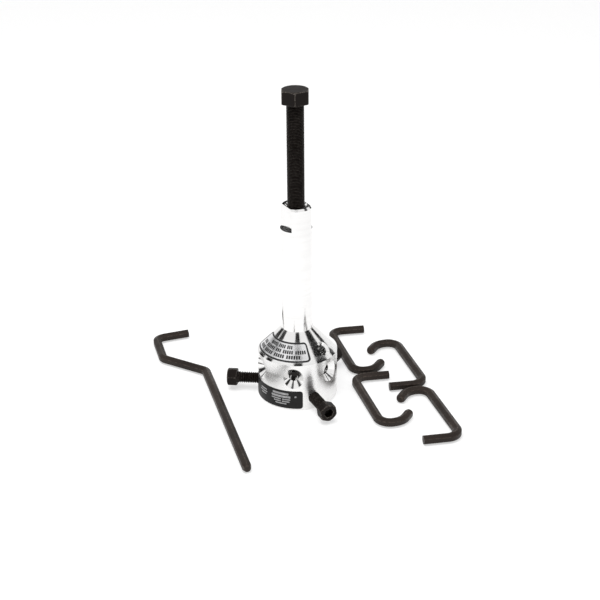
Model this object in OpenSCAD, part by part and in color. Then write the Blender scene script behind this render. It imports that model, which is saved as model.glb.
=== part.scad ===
// Bell-type gear puller: a turned aluminium housing with a central forcing screw,
// three hex-head side bolts, four loose hex-rod hooks and an offset hex bar.
// Azimuths are measured from the front (-Y), positive toward +X.

/* [Housing] */
// Outside diameter of the bell
bell_d = 76.2; // [75:0.1:80]
// Height of the bell's straight wall
bell_h = 48; // [47:0.5:52]
// Diameter of the bell's inside
bell_bore_d = 48; // [44:0.5:50]
// Thickness of the sloping shoulder
shoulder_t = 13.5; // [12:0.5:15]
// Diameter of the stem
stem_d = 29.6; // [28:0.1:32]
// Height of the whole housing
housing_h = 194.4; // [180:0.1:220]
// Edge chamfer at the top of the stem
stem_chamfer = 1.8; // [0.5:0.1:2.5]
// Width across the two wrench flats
flat_af = 20.6; // [19:0.1:24]
// Length of the wrench flats
flat_h = 22.2; // [15:0.1:30]
// Azimuth that the first wrench flat faces
flat_turn = -62; // [-180:1:180]

/* [Hook holes] */
// Number of radial holes around the bell
radial_count = 6; // [3:1:6]
// Azimuth of the first radial hole
radial_turn = -5.7; // [-180:0.1:180]
// Height of the radial holes
radial_z = 34; // [32:0.5:36]
// Diameter of every hook hole
hook_hole_d = 9.6; // [9.3:0.1:10]
// Countersink diameter of the radial holes
radial_csk_d = 21; // [14:0.5:22]
// Azimuths of the two shoulder holes
shoulder_turns = [54.3, -125.7];
// Distance of the shoulder holes from the centre line
shoulder_hole_r = 30.6; // [29:0.1:32]
// Countersink diameter of the shoulder holes
shoulder_csk_d = 14.8; // [12:0.1:16]

/* [Forcing screw] */
// Thread diameter of the forcing screw
screw_d = 15.875; // [15:0.005:16]
// Length of the forcing screw under its head
screw_l = 190.5; // [150:0.5:192]
// Height of the underside of the screw's head
screw_head_z = 289.6; // [270:0.1:300]
// Width across the flats of the head
screw_head_af = 23.8; // [22:0.1:26]
// Height of the head
screw_head_h = 12.5; // [10:0.1:14]
// Diameter of the thrust ball in the tip
ball_d = 9.525; // [8:0.005:10]

/* [Side bolts] */
// Thread diameter of the side bolts
bolt_d = 11.1125; // [10:0.0005:11.5]
// Length of a side bolt under its head
bolt_l = 31.75; // [30:0.25:33]
// Height of the side bolts
bolt_z = 12.3; // [12:0.1:14]
// Width across the flats of the bolt heads
bolt_head_af = 15.9; // [14:0.1:17]
// Length of the bolt heads
bolt_head_h = 9.7; // [8:0.1:11]
// Width across the flats of the socket in each head
socket_af = 8.1; // [8:0.05:8.5]
// Depth of the socket
socket_h = 7; // [5:0.5:8]
// Azimuths of the left, front and back bolts
bolt_turns = [-95.7, 24.3, 144.3];
// Distance of each head's outer end from the centre line
bolt_reach = [68.3, 70.5, 66];
// Turn of each bolt about its own axis
bolt_rolls = [-9.5, 8, 30];

/* [Hooks and bar] */
// Width across the flats of the hex rod
rod_af = 7.94; // [7:0.02:8]
// Centre-line radius of the hook's tight bends
hook_bend_r = 11.3; // [9:0.1:14]
// Length of the hook's straight arm to its corner
hook_arm = 35.9; // [30:0.1:45]
// Angle between the arm and the spine
hook_arm_angle = 84; // [80:0.5:95]
// Length of the hook's spine between its corners
hook_spine = 88.6; // [80:0.1:95]
// Bend from the spine into the claw
claw_bend = 88.8; // [85:0.1:92]
// Radius of the claw's curl
claw_r = 16; // [14:0.5:20]
// Angle of the claw's curl
claw_curl = 48.5; // [40:0.5:55]
// Straight length at the claw's tip
claw_tip = 9.9; // [6:0.1:12]
// Centre-line radius of the bar's bends
bar_bend_r = 9.25; // [8:0.25:12]
// Lengths of the bar's four runs, corner to corner
bar_runs = [34.5, 44.7, 51.6, 180.3];
// Turns at the bar's three corners
bar_turns = [85.1, 45.1, -45];

/* [Hidden] */
$fn = 96;
eps = 0.01;
// Radial clearance of a thread in its hole
run_gap = 0.05;
bell_r = bell_d / 2;
bore_r = bell_bore_d / 2;
stem_r = stem_d / 2;
// The shoulder is a 45 degree cone on which radius plus height is constant
cone_sum = bell_r + bell_h;
inner_sum = cone_sum - shoulder_t * sqrt(2);
roof_r = 10;
// Where each hook lies: arm corner x, y and the heading of its spine
hook_places = [[34.34, 112.98, -75.28], [54.37, 15.34, -75.08],
    [124.58, 3.46, 105.07], [148.6, -92.15, 105.63]];
// Where the bar lies: end of its short run x, y and its first heading
bar_place = [-115.05, 111.97, -160];
label_t = 0.25;
glue = 0.02;
// Bends stand a hair proud of the straight runs, which lap into them
lap = 0.3;
bend_swell = 0.04;
rod_z = (rod_af + bend_swell) / cos(30) / 2;

// Puts children at a height on the azimuth given, with +X pointing outward
module radial(azimuth, z = 0) {
    translate([0, 0, z]) rotate([0, 0, azimuth - 90]) children();
}

// A hexagon whose corners point up and down
module hex_section(af) {
    rotate(30) circle(d = af / cos(30), $fn = 6);
}

// Hexagonal head along +X from 0 to h with its outer corners chamfered
module hex_head_x(af, h, roll, chamfer) {
    r = af / cos(30) / 2 + eps;
    intersection() {
        rotate([roll, 0, 0]) rotate([90, 0, 90]) linear_extrude(h) hex_section(af);
        rotate([0, 90, 0]) rotate_extrude()
            polygon([[0, 0], [r - 0.3, 0], [r, 0.3], [r, h - chamfer],
                [r - chamfer * 1.6, h], [0, h]]);
    }
}

// Straight hex rod along +X, lapping into the bend at each end
module rod_straight(l) {
    translate([-lap, 0, 0]) rotate([90, 0, 90]) linear_extrude(l + 2 * lap) hex_section(rod_af);
}

// Bent hex rod that starts along +X; a positive turn goes left
module rod_bend(r, turn) {
    side = sign(turn);
    start = turn > 0 ? -90 : 90 + turn;
    translate([0, side * r, 0]) rotate([0, 0, start])
        rotate_extrude(angle = abs(turn)) translate([r, 0]) hex_section(rod_af + bend_swell);
}

// Straight hex rod along +X with a rounded tip
module rod_tip(l) {
    intersection() {
        rod_straight(l);
        union() {
            translate([-lap, 0, 0]) rotate([0, 90, 0]) cylinder(r = rod_z, h = l - 3.4 + lap);
            translate([l - 3.4, 0, 0]) sphere(r = rod_z);
        }
    }
}

// Hex rod that follows a list of runs: [length] is straight, [radius, turn] is a bend
module rod_run(runs, i = 0) {
    if (i < len(runs)) {
        run = runs[i];
        if (len(run) == 1) {
            if (i == len(runs) - 1) rod_tip(run[0]);
            else rod_straight(run[0]);
            translate([run[0], 0, 0]) rod_run(runs, i + 1);
        } else {
            r = run[0];
            turn = run[1];
            side = sign(turn);
            rod_bend(r, turn);
            translate([r * sin(abs(turn)), side * r * (1 - cos(turn)), 0])
                rotate([0, 0, turn]) rod_run(runs, i + 1);
        }
    }
}

// Length a bend takes from each run that meets at its corner
function cut(r, turn) = r * tan(abs(turn) / 2);

// Radial hook hole with its wide countersink
module radial_hole(azimuth) {
    csk_r = radial_csk_d / 2;
    radial(azimuth, radial_z) rotate([0, 90, 0]) {
        cylinder(d = hook_hole_d, h = bell_r + 5);
        translate([0, 0, bell_r - csk_r]) cylinder(r1 = 0, r2 = csk_r + 5, h = csk_r + 5);
    }
}

// Hook hole square to the shoulder, with its countersink
module shoulder_hole(azimuth) {
    csk_r = shoulder_csk_d / 2;
    z = cone_sum - shoulder_hole_r;
    radial(azimuth, z) translate([shoulder_hole_r, 0, 0]) rotate([0, 45, 0]) {
        translate([0, 0, -24]) cylinder(d = hook_hole_d, h = 34);
        translate([0, 0, -csk_r]) cylinder(r1 = 0, r2 = csk_r + 5, h = csk_r + 5);
    }
}

// Two flats milled on the top of the stem
module wrench_flats() {
    for (turn = [flat_turn, flat_turn + 180])
        radial(turn, housing_h - flat_h)
            translate([flat_af / 2, -stem_d / 2 - 1, 0]) cube([stem_d, stem_d + 2, flat_h + 1]);
}

module housing() {
    c = 1;
    color("gainsboro") difference() {
        rotate_extrude() polygon([
            [bore_r, 0], [bell_r - c, 0], [bell_r, c], [bell_r, bell_h],
            [stem_r, cone_sum - stem_r], [stem_r, housing_h - stem_chamfer],
            [stem_r - stem_chamfer, housing_h], [screw_d / 2 + 2.2, housing_h],
            [screw_d / 2 + run_gap, housing_h - 2.2], [screw_d / 2 + run_gap, inner_sum - roof_r],
            [roof_r, inner_sum - roof_r], [bore_r, inner_sum - bore_r]]);
        for (i = [0:radial_count - 1]) radial_hole(radial_turn + 360 * i / radial_count);
        for (turn = shoulder_turns) shoulder_hole(turn);
        for (turn = bolt_turns) radial(turn, bolt_z)
            rotate([0, 90, 0]) cylinder(r = bolt_d / 2 + run_gap, h = bell_r + 5);
        wrench_flats();
    }
}

module forcing_screw() {
    r = screw_d / 2;
    tip_z = screw_head_z - screw_l;
    color([0.12, 0.12, 0.13]) difference() {
        union() {
            rotate_extrude() polygon([[0, tip_z], [6.2, tip_z], [r, tip_z + 3],
                [r, screw_head_z + eps], [0, screw_head_z + eps]]);
            translate([0, 0, screw_head_z]) rotate([0, -90, 0])
                hex_head_x(screw_head_af, screw_head_h, 90, 1.5);
        }
        translate([0, 0, tip_z + 1.2]) sphere(d = ball_d + 2 * run_gap);
    }
}

module thrust_ball() {
    color("silver") translate([0, 0, screw_head_z - screw_l + 1.2]) sphere(d = ball_d);
}

// Side bolt number i with its hex head and hex socket
module side_bolt(i) {
    under = bolt_reach[i] - bolt_head_h;
    tip = under - bolt_l;
    r = bolt_d / 2;
    color([0.1, 0.1, 0.11]) radial(bolt_turns[i], bolt_z) difference() {
        union() {
            rotate([0, 90, 0]) rotate_extrude()
                polygon([[0, tip], [r - 1.4, tip], [r, tip + 1.4], [r, under + eps], [0, under + eps]]);
            translate([under, 0, 0]) hex_head_x(bolt_head_af, bolt_head_h, bolt_rolls[i], 1.3);
        }
        translate([under + bolt_head_h - socket_h, 0, 0]) rotate([bolt_rolls[i] + 30, 0, 0])
            rotate([90, 0, 90]) linear_extrude(socket_h + 1) hex_section(socket_af);
    }
}

module side_bolt_left() {
    side_bolt(0);
}

module side_bolt_front() {
    side_bolt(1);
}

module side_bolt_back() {
    side_bolt(2);
}

// Hook number i: straight arm, spine and curled claw
module hook(i) {
    p = hook_places[i];
    arm_turn = 180 - hook_arm_angle;
    a = cut(hook_bend_r, arm_turn);
    b = cut(hook_bend_r, claw_bend);
    heading = p[2] + hook_arm_angle;
    color([0.2, 0.17, 0.15])
        translate([p[0] + hook_arm * cos(heading), p[1] + hook_arm * sin(heading), rod_z])
        rotate([0, 0, heading + 180])
        rod_run([[hook_arm - a], [hook_bend_r, arm_turn], [hook_spine - a - b],
            [hook_bend_r, claw_bend], [2], [claw_r, claw_curl], [claw_tip]]);
}

module hook_1() {
    hook(0);
}

module hook_2() {
    hook(1);
}

module hook_3() {
    hook(2);
}

module hook_4() {
    hook(3);
}

module offset_hex_bar() {
    a = cut(bar_bend_r, bar_turns[0]);
    b = cut(bar_bend_r, bar_turns[1]);
    c = cut(bar_bend_r, bar_turns[2]);
    color([0.2, 0.17, 0.15]) translate([bar_place[0], bar_place[1], rod_z])
        rotate([0, 0, bar_place[2]])
        rod_run([[bar_runs[0] - a], [bar_bend_r, bar_turns[0]], [bar_runs[1] - a - b],
            [bar_bend_r, bar_turns[1]], [bar_runs[2] - b - c],
            [bar_bend_r, bar_turns[2]], [bar_runs[3] - c]]);
}

// Foil label around the shoulder
module cone_label() {
    lo = 36;
    hi = 22;
    d = glue * sqrt(2);
    t = (glue + label_t) * sqrt(2);
    color("whitesmoke") radial(-96) rotate_extrude(angle = 118) polygon([
        [lo, cone_sum - lo + d], [lo, cone_sum - lo + t],
        [hi, cone_sum - hi + t], [hi, cone_sum - hi + d]]);
}

// Thin name plate around the foot of the bell
module name_plate() {
    color([0.15, 0.15, 0.16]) radial(-84, 2) rotate_extrude(angle = 91.5)
        translate([bell_r + glue, 0]) square([label_t, 18.7]);
}

housing();
forcing_screw();
thrust_ball();
side_bolt_left();
side_bolt_front();
side_bolt_back();
hook_1();
hook_2();
hook_3();
hook_4();
offset_hex_bar();
cone_label();
name_plate();
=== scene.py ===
import math
import bmesh
import bpy
import numpy as np
from mathutils import Matrix, Vector


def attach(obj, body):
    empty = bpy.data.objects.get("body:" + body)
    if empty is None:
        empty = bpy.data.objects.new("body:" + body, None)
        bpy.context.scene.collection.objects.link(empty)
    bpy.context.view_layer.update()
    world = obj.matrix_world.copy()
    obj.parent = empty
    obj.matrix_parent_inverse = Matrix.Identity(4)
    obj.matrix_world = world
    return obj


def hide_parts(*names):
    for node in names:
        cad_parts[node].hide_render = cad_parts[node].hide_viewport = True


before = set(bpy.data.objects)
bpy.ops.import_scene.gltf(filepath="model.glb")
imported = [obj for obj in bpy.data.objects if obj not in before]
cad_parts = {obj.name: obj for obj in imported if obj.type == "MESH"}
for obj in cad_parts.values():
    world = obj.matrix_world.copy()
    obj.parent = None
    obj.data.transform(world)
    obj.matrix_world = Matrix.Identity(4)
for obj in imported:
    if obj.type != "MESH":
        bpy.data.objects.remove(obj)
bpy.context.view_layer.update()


# Camera: a 75 mm lens about 1.2 m from the tool and 26 degrees above the floor,
# looking at the lower part of the stem, and rolled by less than half a degree.
camera = bpy.data.objects.new("camera", bpy.data.cameras.new("camera"))
bpy.context.scene.collection.objects.link(camera)
camera.data.lens = 75.09
camera.data.sensor_width = 36
aim = Vector((0.00298, 0, 0.09786))
tilt, roll, distance = math.radians(26.26), math.radians(-0.44), 1.1753
stand = aim + distance * Vector((0, -math.cos(tilt), math.sin(tilt)))
camera.matrix_world = (Matrix.Translation(stand)
                       @ (aim - stand).to_track_quat("-Z", "Y").to_matrix().to_4x4()
                       @ Matrix.Rotation(roll, 4, "Z"))
bpy.context.scene.camera = camera
bpy.context.scene.view_settings.view_transform = "Standard"


# Studio: a white room and floor, one broad soft lamp overhead that the metal
# doesn't mirror, and a few dark flags round the top of the room, seen only in
# the metal, that give the shoulder and countersinks their dark streaks.
def nodes_of(name):
    """A new node material, its tree's nodes, its links and its Principled shader."""
    m = bpy.data.materials.new(name)
    m.use_nodes = True
    n = m.node_tree.nodes
    return m, n, m.node_tree.links, n["Principled BSDF"]


def background_rays(nodes, links, kinds):
    """The larger of several Light Path outputs, by name: 1 on any ray of those kinds."""
    path = nodes.new("ShaderNodeLightPath")
    out = path.outputs[kinds[0]]
    for kind in kinds[1:]:
        either = nodes.new("ShaderNodeMath")
        either.operation = "MAXIMUM"
        links.new(out, either.inputs[0])
        links.new(path.outputs[kind], either.inputs[1])
        out = either.outputs[0]
    return out


def spread(nodes, links, value, low, high, start=0.0, end=1.0):
    """A value between start and end carried in a straight line to low and high."""
    r = nodes.new("ShaderNodeMapRange")
    r.inputs["From Min"].default_value = start
    r.inputs["From Max"].default_value = end
    r.inputs["To Min"].default_value = low
    r.inputs["To Max"].default_value = high
    links.new(value, r.inputs["Value"])
    return r.outputs["Result"]


SEEN = ["Is Camera Ray", "Is Glossy Ray", "Is Transmission Ray"]
room_fill, floor_glow, floor_reach = 0.62, 0.52, 3
room = bpy.data.worlds.new("room")
bpy.context.scene.world = room
room.use_nodes = True
n, l = room.node_tree.nodes, room.node_tree.links
n["Background"].inputs["Color"].default_value = (1, 1, 1, 1)
l.new(spread(n, l, background_rays(n, l, SEEN), room_fill, 1.0),
      n["Background"].inputs["Strength"])

floor = bpy.data.objects.new("studio_floor", bpy.data.meshes.new("studio_floor"))
floor.data.from_pydata([(x * floor_reach, y * floor_reach, 0)
                        for x, y in ((-1, -1), (1, -1), (1, 1), (-1, 1))], [], [(0, 1, 2, 3)])
bpy.context.scene.collection.objects.link(floor)
m, n, l, shader = nodes_of("floor_white")
shader.inputs["Base Color"].default_value = (0.62, 0.62, 0.62, 1)
shader.inputs["Roughness"].default_value = 0.9
shader.inputs["Emission Color"].default_value = (1, 1, 1, 1)
l.new(spread(n, l, background_rays(n, l, SEEN), 0.0, floor_glow),
      shader.inputs["Emission Strength"])
floor.data.materials.append(m)

lamp = bpy.data.objects.new("overhead_lamp", bpy.data.lights.new("overhead_lamp", "AREA"))
lamp.data.shape = "RECTANGLE"
lamp.data.size, lamp.data.size_y = 1.2, 0.9
lamp.data.energy = 14
lamp.visible_glossy = False
lamp_at, lamp_way = (-0.25, -0.35, 1.5), Vector((0.22, 0.3, -1.45))
lamp.matrix_world = (Matrix.Translation(lamp_at)
                     @ lamp_way.to_track_quat("-Z", "Y").to_matrix().to_4x4())
bpy.context.scene.collection.objects.link(lamp)

flag_black, n, l, shader = nodes_of("flag_black")
shader.inputs["Base Color"].default_value = (0.01, 0.01, 0.01, 1)
shader.inputs["Roughness"].default_value = 1.0


def dark_flag(name, from_heading, to_heading, from_height, to_height, distance=2.2):
    """A piece of a sphere round the tool, between two headings from the front and
    two heights above the floor, all in degrees."""
    cols, rows = 9, 5
    a, e = np.radians(np.meshgrid(np.linspace(from_heading, to_heading, cols),
                                  np.linspace(from_height, to_height, rows)))
    grid = distance * np.stack([np.sin(a) * np.cos(e), -np.cos(a) * np.cos(e), np.sin(e)], -1)
    k, j = np.meshgrid(np.arange(rows - 1), np.arange(cols - 1), indexing="ij")
    at = (cols * k + j).ravel()
    mesh = bpy.data.meshes.new(name)
    mesh.from_pydata(grid.reshape(-1, 3).tolist(), [],
                     np.stack([at, at + 1, at + cols + 1, at + cols], -1).tolist())
    mesh.materials.append(flag_black)
    o = bpy.data.objects.new(name, mesh)
    bpy.context.scene.collection.objects.link(o)
    o.visible_camera = o.visible_diffuse = o.visible_shadow = o.visible_transmission = False


under_the_lamp = 1.1
dark_flag("flag_front_top", -14, 20, 55, 70, under_the_lamp)
for name, headings, heights in (("flag_right_high", (70, 106), (36, 54)),
                                ("flag_left_high", (-112, -88), (33, 47)),
                                ("flag_right_low", (50, 80), (11, 34)),
                                ("flag_left_low", (-80, -50), (11, 34)),
                                ("flag_right_back", (118, 150), (17, 30)),
                                ("flag_left_back", (-134, -113), (15, 34)),
                                ("flag_back", (168, 196), (19, 33))):
    dark_flag(name, *headings, *heights)


# Housing: one piece of polished aluminium bar, turned to a bell, a sloping
# shoulder and a long stem, then drilled, countersunk and milled with two flats.
def new_group(name, inputs, outputs):
    """A shader node group with number inputs (label, value) and number outputs."""
    g = bpy.data.node_groups.new(name, "ShaderNodeTree")
    for label, value in inputs:
        s = g.interface.new_socket(name=label, in_out="INPUT", socket_type="NodeSocketFloat")
        s.default_value = value
    for label in outputs:
        g.interface.new_socket(name=label, in_out="OUTPUT", socket_type="NodeSocketFloat")
    return g, g.nodes.new("NodeGroupInput"), g.nodes.new("NodeGroupOutput")


def use_group(nodes, group, **values):
    """Places a node group in a material and sets its inputs by name."""
    g = nodes.new("ShaderNodeGroup")
    g.node_tree = group
    for label, value in values.items():
        g.inputs[label.replace("_", " ")].default_value = value
    return g


def calc(nodes, links, operation, a, b):
    """One Math node; a and b are sockets or numbers."""
    c = nodes.new("ShaderNodeMath")
    c.operation = operation
    for socket, value in zip(c.inputs, (a, b)):
        if isinstance(value, (int, float)):
            socket.default_value = value
        else:
            links.new(value, socket)
    return c.outputs[0]


def shade(nodes, links, factor, *stops):
    """A colour ramp with stops (place, (r, g, b)) read by factor."""
    r = nodes.new("ShaderNodeValToRGB")
    for i, (place, colour) in enumerate(stops):
        e = r.color_ramp.elements[i] if i < 2 else r.color_ramp.elements.new(place)
        e.position = place
        e.color = (*colour, 1)
    links.new(factor, r.inputs["Fac"])
    return r.outputs["Color"]


def relief(nodes, links, height, shader, strength, distance):
    """A Bump node from a height to the shader's normal."""
    b = nodes.new("ShaderNodeBump")
    b.inputs["Strength"].default_value = strength
    b.inputs["Distance"].default_value = distance
    links.new(height, b.inputs["Height"])
    links.new(b.outputs["Normal"], shader.inputs["Normal"])


def noise(nodes, links, at, detail, size):
    """The factor of a Noise node read at a place; size is a socket or a number."""
    t = nodes.new("ShaderNodeTexNoise")
    t.inputs["Detail"].default_value = detail
    links.new(at, t.inputs["Vector"])
    if isinstance(size, (int, float)):
        t.inputs["Scale"].default_value = size
    else:
        links.new(size, t.inputs["Scale"])
    return t.outputs["Fac"]


def ring_place(nodes, links):
    """The distance from the centre line, the root of x squared plus y squared, and
    the height z, of a point in object coordinates."""
    where = nodes.new("ShaderNodeTexCoord")
    split = nodes.new("ShaderNodeSeparateXYZ")
    links.new(where.outputs["Object"], split.inputs[0])
    squares = [calc(nodes, links, "POWER", split.outputs[part], 2.0) for part in "XY"]
    return (calc(nodes, links, "SQRT", calc(nodes, links, "ADD", *squares), 0.0),
            split.outputs["Z"])


# Tool marks of a lathe: noise read by the distance from the centre line and the
# height, so that it stays the same all round each ring.
turning_marks, ins, outs = new_group("turning_marks", [("Rings", 900.0)], ["Height", "Tone"])
n, l = turning_marks.nodes, turning_marks.links
radius, height = ring_place(n, l)
ring = n.new("ShaderNodeCombineXYZ")
l.new(radius, ring.inputs["X"])
l.new(height, ring.inputs["Z"])
for label, part in (("Height", 1.0), ("Tone", 0.22)):
    size = calc(n, l, "MULTIPLY", ins.outputs["Rings"], part)
    l.new(noise(n, l, ring.outputs[0], 3, size), outs.inputs[label])

# Fine grain: two noises of different size, for the pores of a metal's finish.
fine_grain, ins, outs = new_group("fine_grain", [("Fine", 2500.0), ("Broad", 60.0)],
                                  ["Height", "Cloud"])
n, l = fine_grain.nodes, fine_grain.links
where = n.new("ShaderNodeTexCoord")
for label, size, detail in (("Height", "Fine", 3), ("Cloud", "Broad", 5)):
    l.new(noise(n, l, where.outputs["Object"], detail, ins.outputs[size]), outs.inputs[label])

# Inside faces: 1 inside the bell and in the screw's bore, 0 outside; the aluminium
# uses it to paint shade into those hollows and to make their gloss hazier. The bell's
# inside lies where the radius is under the bore's and radius plus height under a
# sum that stays below the shoulder. Wall is 1 on the bell's straight wall.
bell_bore, bell_sum, screw_bore, stem_top = 0.0246, 0.068, 0.0084, 0.1935
wall_r, wall_top = 0.03795, 0.0479
inside_faces, ins, outs = new_group("inside_faces", [], ["Inside", "Wall"])
n, l = inside_faces.nodes, inside_faces.links
radius, height = ring_place(n, l)
hollow = calc(n, l, "MULTIPLY", calc(n, l, "LESS_THAN", radius, bell_bore),
              calc(n, l, "LESS_THAN", calc(n, l, "ADD", radius, height), bell_sum))
screw_way = calc(n, l, "MULTIPLY", calc(n, l, "LESS_THAN", radius, screw_bore),
                 calc(n, l, "LESS_THAN", height, stem_top))
l.new(calc(n, l, "MAXIMUM", hollow, screw_way), outs.inputs["Inside"])
l.new(calc(n, l, "MULTIPLY", calc(n, l, "GREATER_THAN", radius, wall_r),
           calc(n, l, "LESS_THAN", height, wall_top)), outs.inputs["Wall"])

aluminium, n, l, shader = nodes_of("polished_aluminium")
shader.inputs["Metallic"].default_value = 1
marks = use_group(n, turning_marks, Rings=1100.0)
grain = use_group(n, fine_grain, Fine=1800.0, Broad=45.0)
faces = use_group(n, inside_faces)
mottle = calc(n, l, "MULTIPLY", marks.outputs["Tone"], grain.outputs["Cloud"])
# Painted shade: the inside of the bell and the screw's bore take the two dark lowest stops of the
# base colour below.
tone_and_painted_bore_shade = calc(n, l, "SUBTRACT", mottle, faces.outputs["Inside"])
l.new(shade(n, l, calc(n, l, "ADD", calc(n, l, "MULTIPLY", tone_and_painted_bore_shade, 0.5), 0.5),
            (0.1, (0.06, 0.057, 0.055)), (0.45, (0.15, 0.145, 0.14)),
            (0.55, (0.80, 0.795, 0.79)), (0.7, (0.885, 0.88, 0.875))),
      shader.inputs["Base Color"])
wall_haze, inside_haze = 0.14, 0.35
gloss = calc(n, l, "ADD", spread(n, l, mottle, 0.08, 0.2, 0.15, 0.42),
             calc(n, l, "MULTIPLY", faces.outputs["Wall"], wall_haze))
l.new(calc(n, l, "ADD", gloss, calc(n, l, "MULTIPLY", faces.outputs["Inside"], inside_haze)),
      shader.inputs["Roughness"])
relief(n, l, marks.outputs["Height"], shader, 0.09, 0.00006)
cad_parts["housing"].data.materials.clear()
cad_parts["housing"].data.materials.append(aluminium)


# Forcing screw: a 5/8 inch fine-thread steel screw in oiled black oxide, with a
# hexagonal head. Its tip is turned to a nose and holds the thrust ball.
screw_r = 0.015875 / 2
screw_pitch = 0.0254 / 18
screw_under = 0.2896
screw_tip = 0.0991
screw_end = screw_under + 0.0003
nose_r, nose_l = 0.0062, 0.003
ball_pocket_r = 0.0048625
ball_pocket_rise = 0.0012


def skin(rings, rub=None, close_start=True, close_end=True, loop=False):
    """Points, faces and rub of a skin through rings of points, each ring running
    counter-clockwise about the way to the next. Neighbours on neighbouring rings
    make four-sided faces, and an end is closed by a fan round its middle."""
    rows, cols = rings.shape[:2]
    k, j = np.meshgrid(np.arange(rows if loop else rows - 1), np.arange(cols), indexing="ij")
    up, on = (k + 1) % rows, (j + 1) % cols
    faces = np.stack([k * cols + j, k * cols + on, up * cols + on, up * cols + j],
                     -1).reshape(-1, 4).tolist()
    points = np.vstack([rings.reshape(-1, 3), rings[[0, -1]].mean(1)])
    j = np.arange(cols)
    on = (j + 1) % cols
    last = (rows - 1) * cols
    if close_start and not loop:
        faces += np.stack([on, j, np.full(cols, rows * cols)], -1).tolist()
    if close_end and not loop:
        faces += np.stack([last + j, last + on, np.full(cols, rows * cols + 1)], -1).tolist()
    rub = np.zeros((rows, cols)) if rub is None else np.broadcast_to(rub, (rows, cols))
    return points, faces, np.append(rub.ravel(), [0, 0])


def turned(radii, heights, columns):
    """Rings of a turned shape: each radius carried round the axis at its height."""
    turn = np.arange(columns) * 2 * math.pi / columns
    radii, heights = np.array(radii)[:, None], np.array(heights)[:, None]
    return np.stack([radii * np.cos(turn), radii * np.sin(turn),
                     np.broadcast_to(heights, (len(heights), columns))], -1)


def thread(radius, pitch, low, high, nose_r, nose_l, columns):
    """A right-hand thread between two heights. Every row follows the helix: its
    height is its own plus the pitch times the share of a turn, its radius is that
    of crest or root but never more than the cone of the nose, and after a whole
    turn it meets the row one pitch higher. The last turns run out under the head."""
    row_places, row_roots = [0.0625, 0.4375, 0.5625, 0.9375], [0.0, 1.0, 1.0, 0.0]
    depth, lead_in = 0.6 * pitch, 1.2 * pitch
    plain_end, run_out = 0.0012, 0.002
    turns = int(np.ceil((high - low) / pitch)) + 3
    own = ((np.arange(turns)[:, None] + row_places) * pitch).ravel()
    root = np.tile(row_roots, turns)[:, None]
    share = np.arange(columns) / columns
    z = low - lead_in + own[:, None] + pitch * share
    r = radius - depth * root * np.clip((high - plain_end - z) / run_out, 0, 1)
    r = np.minimum(r, nose_r + np.clip(z - low, 0, None) * (radius - nose_r) / nose_l)
    points = np.stack([r * np.cos(2 * math.pi * share), r * np.sin(2 * math.pi * share),
                       np.clip(z, low, high)], -1).reshape(-1, 3)
    rows = len(own)
    k, j = np.meshgrid(np.arange(rows - 1), np.arange(columns - 1), indexing="ij")
    at = (k * columns + j).ravel()
    faces = np.stack([at, at + 1, at + columns + 1, at + columns], -1)
    seam = np.arange(rows - 5) * columns
    faces = np.vstack([faces, np.stack([seam + columns - 1, seam + 4 * columns,
                                        seam + 5 * columns, seam + 2 * columns - 1], -1)])
    rub = np.broadcast_to(1 - root, (rows, columns)).ravel() * 0.55
    return points, faces.tolist(), rub


def hex_head(across, height, chamfer, corner, socket=0.0, depth=0.0):
    """Rings of a hexagonal head from its underside to its top, corner being the
    angle of one corner. A side lies at half the width over the cosine of the angle
    from its middle, and a cone cuts the corners off at the top. A head with a
    socket goes on down the socket's six walls."""
    columns, blunt, slope, corner_from = 72, 0.0003, 1.6, math.radians(27)
    turn = np.arange(columns) * 2 * math.pi / columns + corner
    off = (turn - corner) % (math.pi / 3) - math.pi / 6
    tip = across / 2 / math.cos(math.pi / 6)
    side = np.minimum(across / 2 / np.cos(off), tip - blunt)
    flat = np.full(columns, tip - slope * chamfer)
    rim = height - np.clip(side - flat, 0, None) / slope
    on_corner = np.where(np.abs(off) > corner_from, 0.9, 0.0)
    rows = [(side * 0.4, 0.0, 0.0), (side - 0.0004, 0.0, 0.3), (side, 0.0004, 0.6),
            (side, 0.0011, on_corner), (side, rim - 0.0007, on_corner), (side, rim, 1.0),
            (np.minimum(flat, side), height, 0.45), (flat - 0.0008, height, 0.0)]
    if socket:
        wall = socket / 2 / np.cos((off + math.pi / 3) % (math.pi / 3) - math.pi / 6)
        rows += [(wall + 0.0011, height, 0.0), (wall + 0.0004, height, 0.7),
                 (wall, height - 0.0005, 1.0), (wall, height - 0.0014, 0.0),
                 (wall, height - depth, 0.0), (wall * 0.25, height - depth - 0.0006, 0.0)]
    else:
        rows += [(flat * 0.5, height, 0.0)]
    r = np.array([row[0] for row in rows])
    z = np.array([np.broadcast_to(row[1], columns) for row in rows])
    rub = np.array([np.broadcast_to(row[2], columns) for row in rows])
    return np.stack([r * np.cos(turn), r * np.sin(turn), z], -1), rub


def carry(skins, origin, side, axis):
    """Skins turned so that their third direction runs along axis and their first
    along side, and moved to origin."""
    turn = np.stack([side, np.cross(axis, side), axis])
    return [(np.array(origin) + points @ turn, faces, rub) for points, faces, rub in skins]


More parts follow.
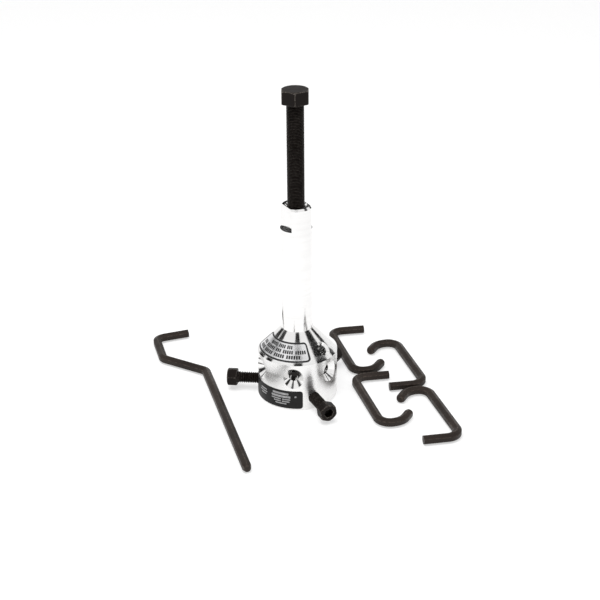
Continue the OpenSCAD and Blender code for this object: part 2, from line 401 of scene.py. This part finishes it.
def make_piece(name, skins, finish, sharp=32):
    """One object from closed skins, its meeting points merged, smooth but for edges
    sharper than an angle, with rub kept as an attribute of its points."""
    starts = np.cumsum([0] + [len(s[0]) for s in skins])
    mesh = bpy.data.meshes.new(name)
    mesh.from_pydata(np.vstack([s[0] for s in skins]).tolist(), [],
                     [[int(start) + i for i in face] for start, s in zip(starts, skins)
                      for face in s[1]])
    worn = mesh.attributes.new("rub", "FLOAT", "POINT")
    worn.data.foreach_set("value", np.concatenate([s[2] for s in skins]).astype(np.float32))
    bm = bmesh.new()
    bm.from_mesh(mesh)
    bmesh.ops.remove_doubles(bm, verts=bm.verts, dist=1e-6)
    bmesh.ops.delete(bm, geom=[v for v in bm.verts if not v.link_faces], context="VERTS")
    bm.to_mesh(mesh)
    bm.free()
    mesh.polygons.foreach_set("use_smooth", np.ones(len(mesh.polygons), bool))
    mesh.set_sharp_from_angle(angle=math.radians(sharp))
    mesh.materials.append(finish)
    o = bpy.data.objects.new(name, mesh)
    bpy.context.scene.collection.objects.link(o)
    return o


# Rubbed edges: where a dark finish has worn off the corners of a piece, broken
# up by noise. The rub attribute is 1 on a sharp corner and 0 on a flat.
rubbed_edges, ins, outs = new_group("rubbed_edges", [("Amount", 0.6), ("Break up", 500.0)],
                                    ["Mask"])
n, l = rubbed_edges.nodes, rubbed_edges.links
where = n.new("ShaderNodeTexCoord")
worn = n.new("ShaderNodeAttribute")
worn.attribute_name = "rub"
broken = n.new("ShaderNodeTexNoise")
broken.inputs["Detail"].default_value = 4
l.new(where.outputs["Object"], broken.inputs["Vector"])
l.new(ins.outputs["Break up"], broken.inputs["Scale"])
patches = spread(n, l, broken.outputs["Fac"], 0.15, 1.0, 0.38, 0.66)
l.new(calc(n, l, "MULTIPLY", calc(n, l, "MULTIPLY", calc(n, l, "POWER", worn.outputs["Fac"], 1.5),
                                  patches), ins.outputs["Amount"]), outs.inputs["Mask"])

black_oxide, n, l, shader = nodes_of("black_oxide")
shader.inputs["Metallic"].default_value = 0.3
shader.inputs["Specular IOR Level"].default_value = 0.22
grain = use_group(n, fine_grain, Fine=2600.0, Broad=90.0)
edges = use_group(n, rubbed_edges, Amount=0.75, Break_up=700.0)
tone = calc(n, l, "ADD", calc(n, l, "MULTIPLY", grain.outputs["Cloud"], 0.3),
            edges.outputs["Mask"])
l.new(shade(n, l, tone, (0.1, (0.0048, 0.0026, 0.0018)), (0.24, (0.0092, 0.0062, 0.0047)),
            (0.9, (0.17, 0.152, 0.135))), shader.inputs["Base Color"])
l.new(spread(n, l, grain.outputs["Cloud"], 0.42, 0.6, 0.3, 0.7), shader.inputs["Roughness"])
relief(n, l, grain.outputs["Height"], shader, 0.25, 0.00005)

screw_columns = 64
pocket = np.linspace(math.radians(88), -math.asin(ball_pocket_rise / ball_pocket_r), 10)
pocket_radii = ball_pocket_r * np.cos(pocket)
pocket_heights = screw_tip + ball_pocket_rise + ball_pocket_r * np.sin(pocket)
nose = skin(turned([*pocket_radii, nose_r], [*pocket_heights, screw_tip], screw_columns),
            close_end=False)
shank = thread(screw_r, screw_pitch, screw_tip, screw_end, nose_r, nose_l, screw_columns)
shank_end = skin(turned([screw_r, screw_r / 2], [screw_end] * 2, screw_columns),
                 close_start=False)
head_across, head_height, head_chamfer = 0.0238, 0.0125, 0.0015
head = skin(*hex_head(head_across, head_height, head_chamfer, math.pi / 2))
head = carry([head], (0, 0, screw_under), (1, 0, 0), (0, 0, 1))
forcing_screw = make_piece("forcing_screw_threaded", [nose, shank, shank_end] + head,
                           black_oxide)
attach(forcing_screw, "forcing_screw")
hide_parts("forcing_screw")


# Thrust ball: a ground bearing ball in the screw's tip, which presses on the
# shaft. The CAD ball is the right shape and takes a ground steel finish.
ball_steel, n, l, shader = nodes_of("ball_steel")
shader.inputs["Metallic"].default_value = 1
grain = use_group(n, fine_grain, Fine=4000.0, Broad=250.0)
l.new(shade(n, l, grain.outputs["Cloud"], (0.3, (0.62, 0.62, 0.64)), (0.7, (0.74, 0.74, 0.76))),
      shader.inputs["Base Color"])
l.new(spread(n, l, grain.outputs["Cloud"], 0.06, 0.16, 0.3, 0.7), shader.inputs["Roughness"])
relief(n, l, grain.outputs["Height"], shader, 0.05, 0.00002)
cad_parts["thrust_ball"].data.materials.clear()
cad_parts["thrust_ball"].data.materials.append(ball_steel)


# Side bolts: three 7/16 inch coarse-thread bolts in the same black oxide, screwed
# in through the bell at thirds of a turn. Each head has a hexagonal socket.
bolt_r = 0.0111125 / 2
bolt_pitch = 0.0254 / 14
bolt_height = 0.0123
bolt_tip, bolt_end, bolt_point, bolt_columns = -0.03175, 0.0003, 0.0014, 48
bolt_across, bolt_head, bolt_chamfer = 0.0159, 0.0097, 0.0013
bolt_socket, socket_depth = 0.0081, 0.007
for name, heading, reach, roll in (("left", -95.7, 0.0683, -9.5), ("front", 24.3, 0.0705, 8),
                                   ("back", 144.3, 0.066, 30)):
    out = np.array([math.sin(math.radians(heading)), -math.cos(math.radians(heading)), 0])
    along = np.array([-out[1], out[0], 0])
    head_skin = skin(*hex_head(bolt_across, bolt_head, bolt_chamfer, math.radians(90 + roll),
                               bolt_socket, socket_depth))
    shank = [skin(turned([0.0015, bolt_r - bolt_point], [bolt_tip] * 2, bolt_columns),
                  close_end=False),
             thread(bolt_r, bolt_pitch, bolt_tip, bolt_end, bolt_r - bolt_point, bolt_point,
                    bolt_columns),
             skin(turned([bolt_r, bolt_r / 2], [bolt_end] * 2, bolt_columns),
                  close_start=False)]
    origin = (reach - bolt_head) * out + [0, 0, bolt_height]
    bolt = make_piece("side_bolt_%s_threaded" % name,
                      carry([head_skin] + shank, origin, along, out), black_oxide)
    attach(bolt, "side_bolt_" + name)
    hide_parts("side_bolt_" + name)


# Hooks and offset bar: five pieces of 5/16 inch hexagonal steel rod with a dark
# brown phosphate finish, sawn to length, bent cold, and rounded at one end.
rod_across = 0.00794
rod_centre = 0.004607
rod_corner_r = 0.0006
rod_round_l, rod_saw_r = 0.0034, 0.0042


def rod_outline():
    """One ring of the rod, as sideways, upward and rub. Each corner is an arc, whose
    middle points up or down, and each flat has three points between two arcs."""
    corner = np.radians(np.arange(6) * 60 + 90)[:, None]
    turn = corner + np.radians([-30, -15, 0, 15, 30])
    hub = (rod_across / 2 - rod_corner_r) / math.cos(math.pi / 6)
    arc = np.stack([hub * np.cos(corner) + rod_corner_r * np.cos(turn),
                    hub * np.sin(corner) + rod_corner_r * np.sin(turn)], -1)
    following = np.roll(arc[:, 0], -1, axis=0)
    share = np.array([0.18, 0.5, 0.82])[:, None]
    flat = arc[:, -1:] + share * (following - arc[:, -1])[:, None]
    points = np.concatenate([arc, flat], 1).reshape(-1, 2)
    rub = np.tile([0.7, 0.95, 1.0, 0.95, 0.7, 0.12, 0.0, 0.12], 6)
    return points[:, 0], points[:, 1], rub


def bent_rod(x, y, heading, runs):
    """Skin of a rod that lies on the floor and follows runs from one end, heading
    in degrees. A run of one number is straight, with stations bunched at its ends,
    and a run of (radius, turn) is a bend that goes left where the turn is positive.
    The first end is sawn with a small chamfer, and the last is rounded."""
    at, way = np.array([x, y]), math.radians(heading)
    places, ways = [at[None]], [np.array([way])]
    for run in runs:
        if len(run) == 1:
            s = run[0] * (0.5 - 0.5 * np.cos(np.linspace(0, math.pi, 13)))[1:, None]
            places.append(at + s * [math.cos(way), math.sin(way)])
            ways.append(np.full(len(s), way))
        else:
            radius, turn = run[0], math.radians(run[1])
            side = math.copysign(radius, turn)
            t = way + np.linspace(0, turn, int(abs(run[1]) / 4) + 2)[1:]
            hub = at + side * np.array([-math.sin(way), math.cos(way)])
            places.append(hub + side * np.stack([np.sin(t), -np.cos(t)], -1))
            ways.append(t)
        at, way = places[-1][-1], ways[-1][-1]
    places, ways = np.vstack(places), np.concatenate(ways)[:, None]
    steps = np.append(0, np.cumsum(np.linalg.norm(np.diff(places, axis=0), axis=1)))
    past = np.clip(rod_round_l - (steps[-1] - steps), 0, None)
    limit = np.minimum(np.sqrt(rod_centre ** 2 - past ** 2), rod_saw_r + 0.8 * steps)[:, None]
    across, up, rub = rod_outline()
    shrink = np.minimum(1, limit / np.hypot(across, up))
    rings = np.stack([places[:, :1] - np.sin(ways) * across * shrink,
                      places[:, 1:] + np.cos(ways) * across * shrink,
                      rod_centre + up * shrink], -1)
    return skin(rings, np.maximum(rub, np.where(shrink < 0.985, 0.8, 0)))


def cut(radius, turn):
    """Length that a bend takes from each run that meets at its corner."""
    return radius * math.tan(math.radians(abs(turn)) / 2)


phosphate, n, l, shader = nodes_of("dark_phosphate")
shader.inputs["Metallic"].default_value = 0.25
shader.inputs["Specular IOR Level"].default_value = 0.3
grain = use_group(n, fine_grain, Fine=1900.0, Broad=70.0)
edges = use_group(n, rubbed_edges, Amount=0.55, Break_up=420.0)
where = n.new("ShaderNodeTexCoord")
stains = noise(n, l, where.outputs["Object"], 6, 24)
tone = calc(n, l, "ADD", calc(n, l, "MULTIPLY", stains, 0.5),
            calc(n, l, "MULTIPLY", edges.outputs["Mask"], 0.7))
l.new(shade(n, l, tone, (0.17, (0.0145, 0.0098, 0.0073)), (0.34, (0.029, 0.0205, 0.016)),
            (0.9, (0.14, 0.11, 0.09))), shader.inputs["Base Color"])
l.new(spread(n, l, grain.outputs["Cloud"], 0.38, 0.6, 0.3, 0.7), shader.inputs["Roughness"])
relief(n, l, grain.outputs["Height"], shader, 0.35, 0.00007)

bend_r, arm, spine, arm_angle, claw_turn = 0.0113, 0.0359, 0.0886, 84, 88.8
claw_curl = [(0.002,), (0.016, 48.5), (0.0099,)]
for name, x, y, heading in (("hook_1", 0.03434, 0.11298, -75.28),
                            ("hook_2", 0.05437, 0.01534, -75.08),
                            ("hook_3", 0.12458, 0.00346, 105.07),
                            ("hook_4", 0.1486, -0.09215, 105.63)):
    back = math.radians(heading + arm_angle)
    into, claw = cut(bend_r, 180 - arm_angle), cut(bend_r, claw_turn)
    rod = make_piece(name + "_bent_rod", [bent_rod(
        x + arm * math.cos(back), y + arm * math.sin(back), heading + arm_angle + 180,
        [(arm - into,), (bend_r, 180 - arm_angle), (spine - into - claw,), (bend_r, claw_turn),
         *claw_curl])], phosphate)
    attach(rod, name)
    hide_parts(name)

bar_r, runs, turns = 0.00925, (0.0345, 0.0447, 0.0516, 0.1803), (85.1, 45.1, -45)
bar_x, bar_y, bar_heading = -0.11505, 0.11197, -160
a, b, c = (cut(bar_r, turn) for turn in turns)
bar = make_piece("offset_hex_bar_bent_rod", [bent_rod(
    bar_x, bar_y, bar_heading,
    [(runs[0] - a,), (bar_r, turns[0]), (runs[1] - a - b,), (bar_r, turns[1]),
     (runs[2] - b - c,), (bar_r, turns[2]), (runs[3] - c,)])], phosphate)
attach(bar, "offset_hex_bar")
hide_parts("offset_hex_bar")


# Cone label: a sheet of printed foil with rounded corners, glued round the left
# and front of the shoulder. Its frame line is black. What was written on it is
# left off, and rows of plain ticks keep its place.
label_r, label_sum = 0.029, 0.0861
label_middle = math.radians(-37)
label_long, label_wide = label_r * math.radians(118), 0.014 * math.sqrt(2)
sheet_low, sheet_high, ink_low, ink_high = 0.00002, 0.00027, 0.00028, 0.00031


def on_shoulder(along, across, lift):
    """A point of the 45 degree shoulder: along is the distance round it at the
    label's middle, across the distance up the slope, lift the height off it."""
    turn = label_middle + along / label_r
    radius = label_r + (lift - across) / math.sqrt(2)
    z = label_sum - label_r + (lift + across) / math.sqrt(2)
    return np.stack([radius * np.sin(turn), -radius * np.cos(turn),
                     z + 0 * turn], -1)


def strip(lay, long, wide, low, high, corner, along=0.0, across=0.0, steps=10):
    """Skin of a flat strip laid on a surface by lay, round a middle at along and
    across. Its half width is full but for the corners, where it follows a quarter
    circle of radius corner."""
    s = long / 2 * np.sin(np.linspace(-math.pi / 2, math.pi / 2, steps))[:, None]
    lost = np.clip(corner - (long / 2 - np.abs(s)), 0, corner)
    half = wide / 2 - corner + np.sqrt(corner ** 2 - lost ** 2)
    side = np.array([1, 1, -1, -1]) * half
    lift = np.array([low, high, high, low]) + 0 * half
    return skin(lay(along + s + 0 * side, across + side, lift))


def frame_line(lay, long, wide, corner, band, low, high):
    """Skin of a closed line round a rectangle with rounded corners, band wide."""
    turn = np.radians(np.linspace(0, 90, 9))
    quarter = np.stack([np.cos(turn), np.sin(turn)], -1)
    a, t = long / 2 - corner, wide / 2 - corner
    spin = [np.array([[math.cos(q), math.sin(q)], [-math.sin(q), math.cos(q)]])
            for q in np.radians([0, 90, 180, 270])]
    hubs = [(a, t), (-a, t), (-a, -t), (a, -t)]
    outs, mids = [], []
    for i in range(4):
        o = quarter @ spin[i]
        steps = np.linspace(0, 1, 60 if i % 2 == 0 else 8)[1:-1, None]
        end, start = hubs[i] + corner * o[-1], hubs[(i + 1) % 4] + corner * o[-1]
        mids += [hubs[i] + corner * o, end + steps * (start - end)]
        outs += [o, np.broadcast_to(o[-1], (len(steps), 2))]
    mids, outs = np.vstack(mids), np.vstack(outs)
    side = np.array([-0.5, -0.5, 0.5, 0.5]) * band
    lift = np.broadcast_to([low, high, high, low], (len(mids), 4))
    return skin(lay(mids[:, :1] + outs[:, :1] * side, mids[:, 1:] + outs[:, 1:] * side, lift),
                loop=True)


foil, n, l, shader = nodes_of("printed_foil")
shader.inputs["Metallic"].default_value = 0.8
grain = use_group(n, fine_grain, Fine=900.0, Broad=110.0)
l.new(shade(n, l, grain.outputs["Cloud"], (0.3, (0.72, 0.72, 0.73)), (0.7, (0.84, 0.84, 0.85))),
      shader.inputs["Base Color"])
l.new(spread(n, l, grain.outputs["Cloud"], 0.2, 0.34, 0.3, 0.7), shader.inputs["Roughness"])
relief(n, l, grain.outputs["Height"], shader, 0.15, 0.00005)
label = make_piece("cone_label_foil", [strip(on_shoulder, label_long, label_wide, sheet_low,
                                             sheet_high, 0.0034, steps=60)], foil)
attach(label, "housing")
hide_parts("cone_label")

ink, n, l, shader = nodes_of("black_ink")
grain = use_group(n, fine_grain, Fine=1500.0, Broad=300.0)
l.new(shade(n, l, grain.outputs["Cloud"], (0.3, (0.006, 0.006, 0.006)),
            (0.7, (0.016, 0.016, 0.017))), shader.inputs["Base Color"])
l.new(spread(n, l, grain.outputs["Height"], 0.35, 0.5, 0.3, 0.7), shader.inputs["Roughness"])
words = [(10.9, 4.8, 3), (2.2, 4.8, 4), (-8.6, 4.8, 5),
         (21.8, 0.0, 5), (9.8, 0.0, 5), (0.0, 0.0, 3), (-11.0, 0.0, 6), (-22.0, 0.0, 3),
         (15.3, -4.8, 6), (2.4, -4.8, 5), (-9.8, -4.8, 5), (-21.0, -4.8, 4)]
mm, ink_corner = 1e-3, 0.0003
tick_gap, tick_long, tick_wide = 2.05, 0.0015, 0.0036
line_inset, line_corner, line_band = 0.0019, 0.0028, 0.0017
ticks = [(along + tick_gap * (i - (count - 1) / 2), across) for along, across, count in words
         for i in range(count)]
print_skins = [strip(on_shoulder, tick_long, tick_wide, ink_low, ink_high, ink_corner,
                     along * mm, across * mm, 6) for along, across in ticks]
print_skins.append(frame_line(on_shoulder, label_long - line_inset, label_wide - line_inset,
                              line_corner, line_band, ink_low, ink_high))
label_print = make_piece("cone_label_print", print_skins, ink)
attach(label_print, "housing")


# Name plate: a thin black plate with rounded corners, bent round the foot of the
# bell and glued. Its pale lettering is left off for short plain bars.
plate_r, plate_z = 0.0381, 0.01135
plate_middle = math.radians(-38.25)
plate_long, plate_wide = plate_r * math.radians(91.5), 0.0187


def on_bell(along, across, lift):
    """A point of the bell's straight wall: along round it, across up it, lift off it."""
    turn = plate_middle + along / plate_r
    return np.stack([(plate_r + lift) * np.sin(turn), -(plate_r + lift) * np.cos(turn),
                     plate_z + across + 0 * turn], -1)


plate_black, n, l, shader = nodes_of("plate_black")
shader.inputs["Specular IOR Level"].default_value = 0.22
grain = use_group(n, fine_grain, Fine=1400.0, Broad=160.0)
l.new(shade(n, l, grain.outputs["Cloud"], (0.3, (0.006, 0.0055, 0.0055)),
            (0.7, (0.014, 0.0135, 0.014))), shader.inputs["Base Color"])
l.new(spread(n, l, grain.outputs["Cloud"], 0.38, 0.55, 0.3, 0.7), shader.inputs["Roughness"])
relief(n, l, grain.outputs["Height"], shader, 0.2, 0.00004)
plate = make_piece("name_plate_sheet", [strip(on_bell, plate_long, plate_wide, sheet_low,
                                              sheet_high, 0.0028, steps=60)], plate_black)
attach(plate, "housing")
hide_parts("name_plate")

pale_ink, n, l, shader = nodes_of("pale_ink")
grain = use_group(n, fine_grain, Fine=1500.0, Broad=500.0)
l.new(shade(n, l, grain.outputs["Cloud"], (0.3, (0.30, 0.30, 0.31)), (0.7, (0.58, 0.58, 0.58))),
      shader.inputs["Base Color"])
l.new(spread(n, l, grain.outputs["Height"], 0.4, 0.55, 0.3, 0.7), shader.inputs["Roughness"])
bars = [(8.6, 5.9, 16.5, 2.2), (8.9, 2.7, 19.5, 2.2), (4.2, -0.1, 10.2, 1.2),
        (14.6, -0.1, 8.0, 1.2), (5.4, -2.4, 7.6, 1.2), (14.0, -2.4, 7.4, 1.2),
        (9.0, -4.7, 11.6, 1.2), (23.5, 3.4, 1.7, 1.7), (-12.0, 4.4, 9.0, 1.2),
        (-12.4, 1.9, 11.0, 1.2), (-12.0, -0.6, 7.2, 1.2)]
plate_print = make_piece("name_plate_print", [
    strip(on_bell, long * mm, wide * mm, ink_low, ink_high, ink_corner, along * mm, across * mm)
    for along, across, long, wide in bars], pale_ink)
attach(plate_print, "housing")
